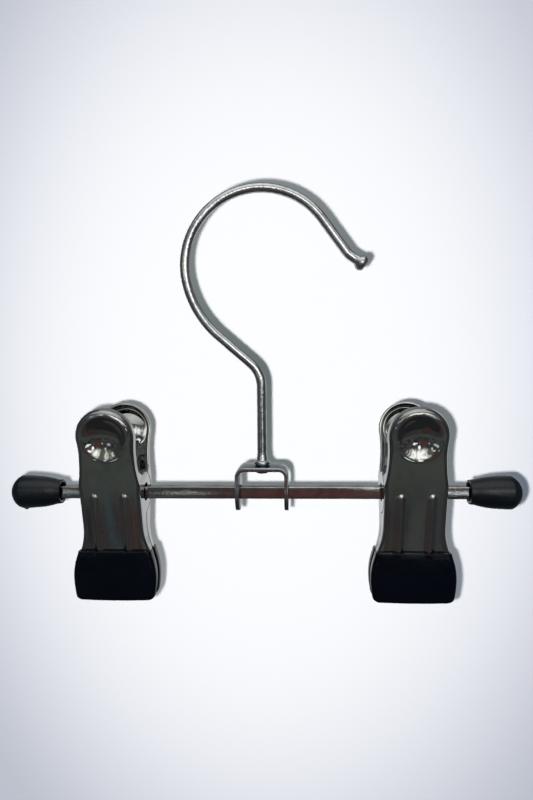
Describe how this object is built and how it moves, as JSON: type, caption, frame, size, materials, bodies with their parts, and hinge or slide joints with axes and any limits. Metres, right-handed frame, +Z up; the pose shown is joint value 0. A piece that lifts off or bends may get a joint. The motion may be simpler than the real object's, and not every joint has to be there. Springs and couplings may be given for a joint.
{
  "type": "clip hanger",
  "caption": "Small wire clip hanger: a swivelling hook carries a square bar in a bent yoke, with pressed spring clips that slide along it, soft gripping pads and rounded end caps.",
  "frame": {"origin": "inside of the hook's top, where the hanger rests on a rail", "axes": "+X along the bar towards the open side of the hook, +Y away from the viewer of the picture, +Z up"},
  "size_m": [0.15, 0.0266, 0.1214],
  "materials": {
    "bright_wire": "bright plated wire",
    "bright_strap": "bright plated strap",
    "bright_bar": "bright plated square bar",
    "polished_sheet": "mirror polished pressed sheet",
    "spring_wire": "drawn wire",
    "black_pad": "dipped glossy vinyl",
    "black_cap": "satin moulded vinyl"
  },
  "bodies": {
    "hook": {"hook": "bright_wire"},
    "frame": {"yoke": "bright_strap", "bar": "bright_bar", "left_end_cap": "black_cap", "right_end_cap": "black_cap"},
    "left_clip": {"left_spring": "spring_wire"},
    "left_front_lever": {"left_front_jaw": "polished_sheet", "left_front_pad": "black_pad"},
    "left_back_lever": {"left_back_jaw": "polished_sheet", "left_back_pad": "black_pad"},
    "right_clip": {"right_spring": "spring_wire"},
    "right_front_lever": {"right_front_jaw": "polished_sheet", "right_front_pad": "black_pad"},
    "right_back_lever": {"right_back_jaw": "polished_sheet", "right_back_pad": "black_pad"}
  },
  "joints": [
    {"name": "hook_swivel", "type": "hinge", "parent": "hook", "child": "frame", "pos_m": [0, 0, -0.0793], "axis": [0, 0, 1], "continuous": true},
    {"name": "left_clip_slide", "type": "slide", "parent": "frame", "child": "left_clip", "axis": [1, 0, 0], "range_m": [-0.007, 0.0267]},
    {"name": "left_front_open", "type": "hinge", "parent": "left_clip", "child": "left_front_lever", "pos_m": [-0.0436, 0, -0.0866], "axis": [-1, 0, 0], "range_deg": [0, 21], "stiffness_Nm_per_rad": 0.25, "springref_deg": -34.38, "deforming": ["left_spring"]},
    {"name": "left_back_open", "type": "hinge", "parent": "left_clip", "child": "left_back_lever", "pos_m": [-0.0436, 0, -0.0866], "axis": [1, 0, 0], "range_deg": [0, 21], "stiffness_Nm_per_rad": 0.25, "springref_deg": -34.38},
    {"name": "right_clip_slide", "type": "slide", "parent": "frame", "child": "right_clip", "axis": [-1, 0, 0], "range_m": [-0.007, 0.0267]},
    {"name": "right_front_open", "type": "hinge", "parent": "right_clip", "child": "right_front_lever", "pos_m": [0.0436, 0, -0.0866], "axis": [-1, 0, 0], "range_deg": [0, 21], "stiffness_Nm_per_rad": 0.25, "springref_deg": -34.38, "deforming": ["right_spring"]},
    {"name": "right_back_open", "type": "hinge", "parent": "right_clip", "child": "right_back_lever", "pos_m": [0.0436, 0, -0.0866], "axis": [1, 0, 0], "range_deg": [0, 21], "stiffness_Nm_per_rad": 0.25, "springref_deg": -34.38}
  ],
  "couplings": [
    {"joint": "left_back_open", "follows": "left_front_open", "ratio": 1},
    {"joint": "right_back_open", "follows": "right_front_open", "ratio": 1}
  ]
}
